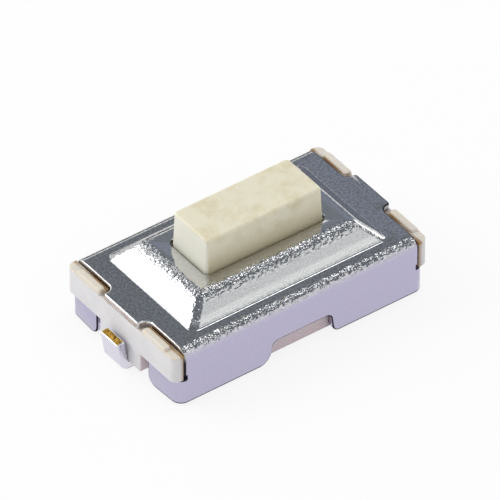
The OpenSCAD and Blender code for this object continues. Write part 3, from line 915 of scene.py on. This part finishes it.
def white_moulding(b, looks):
    """White moulding: warm on the lugs, painted amber shade in the gaps beside the cover, pinkish in
    its windows, painted light on the blocks' sides.
    """
    g = Finish("white_moulding")
    grain, cloud = g.noise(14), g.noise(2.2)
    out_x, out_y = g.size(g.x), g.size(g.y)
    end_x, lug_y = box_mm(BASE_HIGH.x), box_mm(BASE_HIGH.y)
    clouded = [v * 0.95 for v in looks.moulding]
    # Paler copy of the side tone, as painted light for the blocks' sides
    lit_side = [min(1, v * 1.16) for v in looks.moulding_side]
    tint = g.mix(g.ramp(cloud, 0.35, 0.65), looks.moulding, clouded)
    top = g.times(g.ramp(g.z, b.top_z - 0.03, b.lug_top), g.ramp(cloud, 0.3, 0.6, 0.5, 1))
    tint = g.mix(top, tint, looks.moulding_warm)
    side = g.times(g.fade(out_x, b.core_x - 0.1, b.core_x), g.ramp(out_y, b.cavity_y, b.side_y - 0.05))
    tint = g.mix(side, tint, looks.moulding_side)
    # Painted light: the blocks' sides under the lugs are made paler, as if lit
    block = g.times(
        g.ramp(out_y, b.block_y - 0.02, b.block_y),
        g.fade(g.z, b.lug_z - 0.03, b.lug_z),
        g.ramp(out_x, b.core_x, b.core_x + 0.02),
    )
    tint = g.mix(block, tint, lit_side)

    # Shade in the gaps round the pads, in the seams at the flaps and at the back of the ledges
    gap = g.times(
        g.fade(out_x, b.pad_x - 0.01, b.pad_x + 0.05),
        g.ramp(g.z, b.top_z - 0.01, b.top_z + 0.02),
        g.ramp(cloud, 0.35, 0.55, 0.45, 1),
    )
    seam = g.ramp(out_x, b.lug_x + 0.1, b.lug_x, 0, 0.75)
    seam = g.times(seam, g.ramp(out_y, lug_y - 0.1, lug_y - 0.02))
    ledge = g.times(
        g.ramp(out_x, end_x - 0.1, end_x - 0.02, 0.5, 0),
        g.ramp(g.z, b.top_z - 0.03, b.top_z),
        g.fade(out_y, b.pad_in, b.pad_in + 0.04),
    )
    tint = g.mix(g.most(gap, seam, ledge), tint, looks.moulding_gap)
    return g.plastic(tint, grain, (0.42, 0.55), weight=0.25, radius=(0.9, 0.6, 0.4))


def cream_moulding(looks):
    """Cream moulding, faintly mottled: painted olive shade at the foot of its long sides, painted light
    that makes its ends paler.
    """
    g = Finish("cream_moulding")
    blotch, grain = g.noise(2.6, detail=4, rough=0.6), g.noise(16)
    top_z, crown_z = box_mm(BUTTON_HIGH.z), box_mm(COVER_HIGH.z)
    tint = g.mix(g.ramp(blotch, 0.42, 0.72), looks.cream, looks.cream_deep)
    # Painted shade: olive and darker towards the foot of the long sides
    foot = g.times(g.fade(g.z, crown_z, top_z - 0.15), g.ramp(g.size(g.y), 0.54, 0.57))
    tint = g.mix(foot, tint, looks.cream_foot)
    # Painted light: the end faces are made paler, as if lit
    end = g.times(g.ramp(g.size(g.x), 1.32, 1.35), g.fade(g.z, top_z - 0.06, top_z - 0.02), 0.8)
    tint = g.mix(end, tint, looks.cream_end)
    return g.plastic(tint, grain, (0.4, 0.55), weight=0.2, radius=(0.9, 0.7, 0.3))


def silver_plate(looks):
    """Silver plate of the terminals, with a painted highlight along the rim at the cut end and painted
    shade at the foot.
    """
    g = Finish("silver_plate")
    top_z = box_mm(TERMINAL_HIGH.z)
    skin = g.noise(9)
    # Painted highlight near the top rim, painted shade near the floor
    tint = g.mix(g.ramp(g.z, top_z - 0.07, top_z - 0.02), looks.silver, RIM_HIGHLIGHT)
    tint = g.mix(g.ramp(g.z, 0.01, 0.04, 0.8, 0), tint, FOOT_SHADE)
    return g.metal(tint, skin, (0.24, 0.32), depth=0.01, strength=0.04)


def bare_brass(looks):
    """Rough sheared brass where a terminal was cut off."""
    g = Finish("bare_brass")
    torn = g.noise(13, detail=4, rough=0.7)
    tint = g.mix(g.ramp(torn, 0.38, 0.52), TORN_DARK, looks.brass)
    tint = g.mix(g.ramp(torn, 0.55, 0.7), tint, TORN_BRIGHT)
    return g.metal(tint, torn, (0.2, 0.4), depth=0.08, strength=0.8)


def dome_steel(looks):
    """Bright rolled steel of the contact dome."""
    g = Finish("dome_steel")
    rolled = g.noise(3, stretch=(0.4, 8, 8))
    return g.metal(looks.dome, rolled, (0.18, 0.3), depth=0.01, strength=0.15)


def seen_or_mirrored(g):
    """1 for rays of the camera, of gloss and of transmission, 0 for the rest."""
    rays = g.add("ShaderNodeLightPath", "Is Camera Ray").node.outputs
    return g.most(*(rays[f"Is {kind} Ray"] for kind in ("Camera", "Glossy", "Transmission")))


def white_world(ambient):
    """World that is white to look at and gives a weaker soft light."""
    world = bpy.data.worlds.new("surround")
    bpy.context.scene.world = world
    g = Graph(world)
    seen = seen_or_mirrored(g)
    strength = g.add("ShaderNodeMapRange", "Result", Value=seen, To_Min=ambient, To_Max=1)
    g.fill(g.nodes["Background"], Strength=strength, Color=(1, 1, 1))


def floor_material(tone):
    """Pale floor: seen and mirrored it is nearly white, and it keeps the shadow of the switch."""
    g = Graph(bpy.data.materials.new("pale_floor"))
    matt = g.nodes["Principled BSDF"]
    g.fill(matt, Base_Color=tone, Roughness=0.9, Specular_IOR_Level=0.1)
    glow = g.add("ShaderNodeEmission", "Emission", Strength=1)
    seen = g.times(seen_or_mirrored(g), FLOOR_GLOW)
    mixed = g.add("ShaderNodeMixShader", "Shader", Fac=seen)
    g.links.new(matt.outputs["BSDF"], mixed.node.inputs[1])
    g.links.new(glow, mixed.node.inputs[2])
    g.links.new(mixed, g.nodes["Material Output"].inputs["Surface"])
    return g.owner


def card_material(name, tone):
    """An even tone for a card, whatever light falls on it."""
    g = Graph(bpy.data.materials.new(name))
    dull = dict(Base_Color=(0, 0, 0), Specular_IOR_Level=0)
    g.fill(g.nodes["Principled BSDF"], Emission_Color=tone, Emission_Strength=1, **dull)
    return g.owner


def towards(azimuth, elevation):
    """Direction from the switch, with azimuth counted from +X towards +Y, in degrees."""
    a, e = math.radians(azimuth), math.radians(elevation)
    return Vector((math.cos(a) * math.cos(e), math.sin(a) * math.cos(e), math.sin(e)))


def add_card(name, azimuth, elevation, distance, width, height, tone):
    """A card that faces the switch and that only mirrors show."""
    clear_selection()
    direction = towards(azimuth, elevation)
    bpy.ops.mesh.primitive_plane_add(size=1, location=direction * distance * MM)
    card = bpy.context.active_object
    card.name = name
    card.scale = (width * MM, height * MM, 1)
    card.rotation_euler = (-direction).to_track_quat("-Z", "Y").to_euler()
    card.data.materials.append(card_material(name, tone))
    card.visible_camera = False
    card.visible_diffuse = False
    card.visible_shadow = False


def add_lamp(name, azimuth, elevation, distance, width, height, level, tone=(1, 1, 1)):
    """A soft lamp that faces the switch: level is how bright it looks, where 1 is white."""
    direction = towards(azimuth, elevation)
    data = bpy.data.lights.new(name, "AREA")
    data.shape = "RECTANGLE"
    data.size = width * MM
    data.size_y = height * MM
    data.energy = level * math.pi * data.size * data.size_y
    data.color = tone
    lamp = bpy.data.objects.new(name, data)
    lamp.location = direction * distance * MM
    lamp.rotation_euler = direction.to_track_quat("Z", "Y").to_euler()
    bpy.context.scene.collection.objects.link(lamp)


def add_camera(s):
    """The camera of the photograph's view."""
    a, e = s.azimuth, s.elevation
    back = Vector((math.sin(a) * math.cos(e), -math.cos(a) * math.cos(e), math.sin(e)))
    right = Vector((math.cos(a), math.sin(a), 0))
    up = back.cross(right)
    aim = (right * s.shift_right + up * s.shift_up) * MM
    data = bpy.data.cameras.new("camera")
    data.sensor_width = 36
    data.lens = data.sensor_width * s.distance / s.field
    data.clip_start = 0.01
    data.clip_end = 10
    camera = bpy.data.objects.new("camera", data)
    camera.location = aim + back * s.distance * MM
    camera.rotation_mode = "QUATERNION"
    camera.rotation_quaternion = (-back).to_track_quat("-Z", "Y")
    bpy.context.scene.collection.objects.link(camera)
    bpy.context.scene.camera = camera


class SWITCH_OT_stage(bpy.types.Operator):
    """Set up the camera, the floor and the light."""

    bl_idname = "switch.stage"
    bl_label = "Stage"

    def execute(self, context):
        settings = context.scene.switch_stage
        add_camera(in_mm(settings))
        white_world(settings.ambient)
        clear_selection()
        bpy.ops.mesh.primitive_plane_add(size=FLOOR_SIZE, location=(0, 0, -FLOOR_DROP * MM))
        floor = context.active_object
        floor.name = "floor"
        floor.data.materials.append(floor_material(settings.floor))
        for card in CARDS:
            add_card(*card)
        for lamp in LAMPS:
            add_lamp(*lamp)
        context.scene.view_settings.view_transform = "Standard"
        return {"FINISHED"}


class SWITCH_OT_cover(bpy.types.Operator):
    """Build the drawn and folded cover."""

    bl_idname = "switch.cover"
    bl_label = "Cover"

    def execute(self, context):
        c = in_mm(context.scene.switch_cover)
        looks = context.scene.switch_looks
        piece = make_cover(c)
        clear_selection()
        piece.data.materials.append(plated_sheet(c, looks))
        piece.data.materials.append(sheared_edge(looks))
        flap_z = box_mm(COVER_LOW.z) + c.flap_h
        slit = within(x=at(flap_place(c)[0]), z=(flap_z, flap_z + c.relief))
        soften(piece, c.edge, 3, material=1, leave=slit)
        finish_piece(piece, "housing", "cover", "cover_steel")
        return {"FINISHED"}


class SWITCH_OT_base(bpy.types.Operator):
    """Build the white moulding."""

    bl_idname = "switch.base"
    bl_label = "Base"

    def execute(self, context):
        b, t = in_mm(context.scene.switch_base), in_mm(context.scene.switch_terminals)
        material = white_moulding(b, context.scene.switch_looks)
        finish_piece(make_base(b, t), "housing", "base", "white_moulding", material)
        return {"FINISHED"}


class SWITCH_OT_button(bpy.types.Operator):
    """Build the cream stem."""

    bl_idname = "switch.button"
    bl_label = "Button"

    def execute(self, context):
        piece = make_button(in_mm(context.scene.switch_button))
        material = cream_moulding(context.scene.switch_looks)
        finish_piece(piece, "button", "button", "cream_moulding", material)
        return {"FINISHED"}


class SWITCH_OT_terminals(bpy.types.Operator):
    """Build both terminals, with the cut end of each tab in bare brass."""

    bl_idname = "switch.terminals"
    bl_label = "Terminals"

    def execute(self, context):
        t = in_mm(context.scene.switch_terminals)
        floor_z = in_mm(context.scene.switch_base).floor_z
        looks = context.scene.switch_looks
        silver, brass = silver_plate(looks), bare_brass(looks)
        for make, name in ((make_common, "terminal_common"), (make_centre, "terminal_centre")):
            piece = make(t, floor_z)
            piece.name = name + "_strip"
            clear_selection()
            piece.data.materials.append(silver)
            piece.data.materials.append(brass)
            for face in piece.data.polygons:
                face.material_index = int(face.center.z > floor_z + t.strip and face.normal.z > 0.5)
            soften(piece, t.edge, 3, material=0)
            finish_piece(piece, "housing", name, "terminal_plate")
        return {"FINISHED"}


class SWITCH_OT_dome(bpy.types.Operator):
    """Copy the contact dome from the frame."""

    bl_idname = "switch.dome"
    bl_label = "Contact dome"

    def execute(self, context):
        piece = bpy.data.objects.new("dome_leaf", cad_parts["contact_dome"].data.copy())
        context.scene.collection.objects.link(piece)
        select_only(piece)
        piece.scale = (1 / MM, 1 / MM, 1 / MM)
        bpy.ops.object.transform_apply(location=True, rotation=True, scale=True)
        piece.data.materials.clear()
        clean_up(piece)
        material = dome_steel(context.scene.switch_looks)
        finish_piece(piece, "housing", "contact_dome", "dome_steel", material)
        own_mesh(piece)
        return {"FINISHED"}


class SWITCH_PT_panel(bpy.types.Panel):
    """Lists the steps that build the switch."""

    bl_idname = "SWITCH_PT_panel"
    bl_label = "Tactile switch"
    bl_space_type = "VIEW_3D"
    bl_region_type = "UI"
    bl_category = "Switch"

    def draw(self, context):
        for step in STEPS:
            self.layout.operator(step.bl_idname)
        for name in GROUPS:
            group = getattr(context.scene, name)
            box = self.layout.box()
            box.label(text=name.replace("_", " ").capitalize())
            for key in group.__annotations__:
                box.prop(group, key)


GROUPS = {
    "switch_cover": SWITCH_PG_cover,
    "switch_base": SWITCH_PG_base,
    "switch_button": SWITCH_PG_button,
    "switch_terminals": SWITCH_PG_terminals,
    "switch_looks": SWITCH_PG_looks,
    "switch_stage": SWITCH_PG_stage,
}
STEPS = (
    SWITCH_OT_stage,
    SWITCH_OT_cover,
    SWITCH_OT_base,
    SWITCH_OT_button,
    SWITCH_OT_terminals,
    SWITCH_OT_dome,
)


def register():
    """Add the groups, the steps and the panel to Blender."""
    for kind in (*GROUPS.values(), *STEPS, SWITCH_PT_panel):
        bpy.utils.register_class(kind)
    for name, group in GROUPS.items():
        setattr(bpy.types.Scene, name, bpy.props.PointerProperty(type=group))


def unregister():
    """Take them out again."""
    for name in GROUPS:
        delattr(bpy.types.Scene, name)
    for kind in (*STEPS, SWITCH_PT_panel, *GROUPS.values()):
        bpy.utils.unregister_class(kind)


def main():
    """Build the stage and every piece."""
    register()
    bpy.ops.switch.stage()
    bpy.ops.switch.cover()
    bpy.ops.switch.base()
    bpy.ops.switch.button()
    bpy.ops.switch.terminals()
    bpy.ops.switch.dome()


if __name__ == "__main__":
    main()
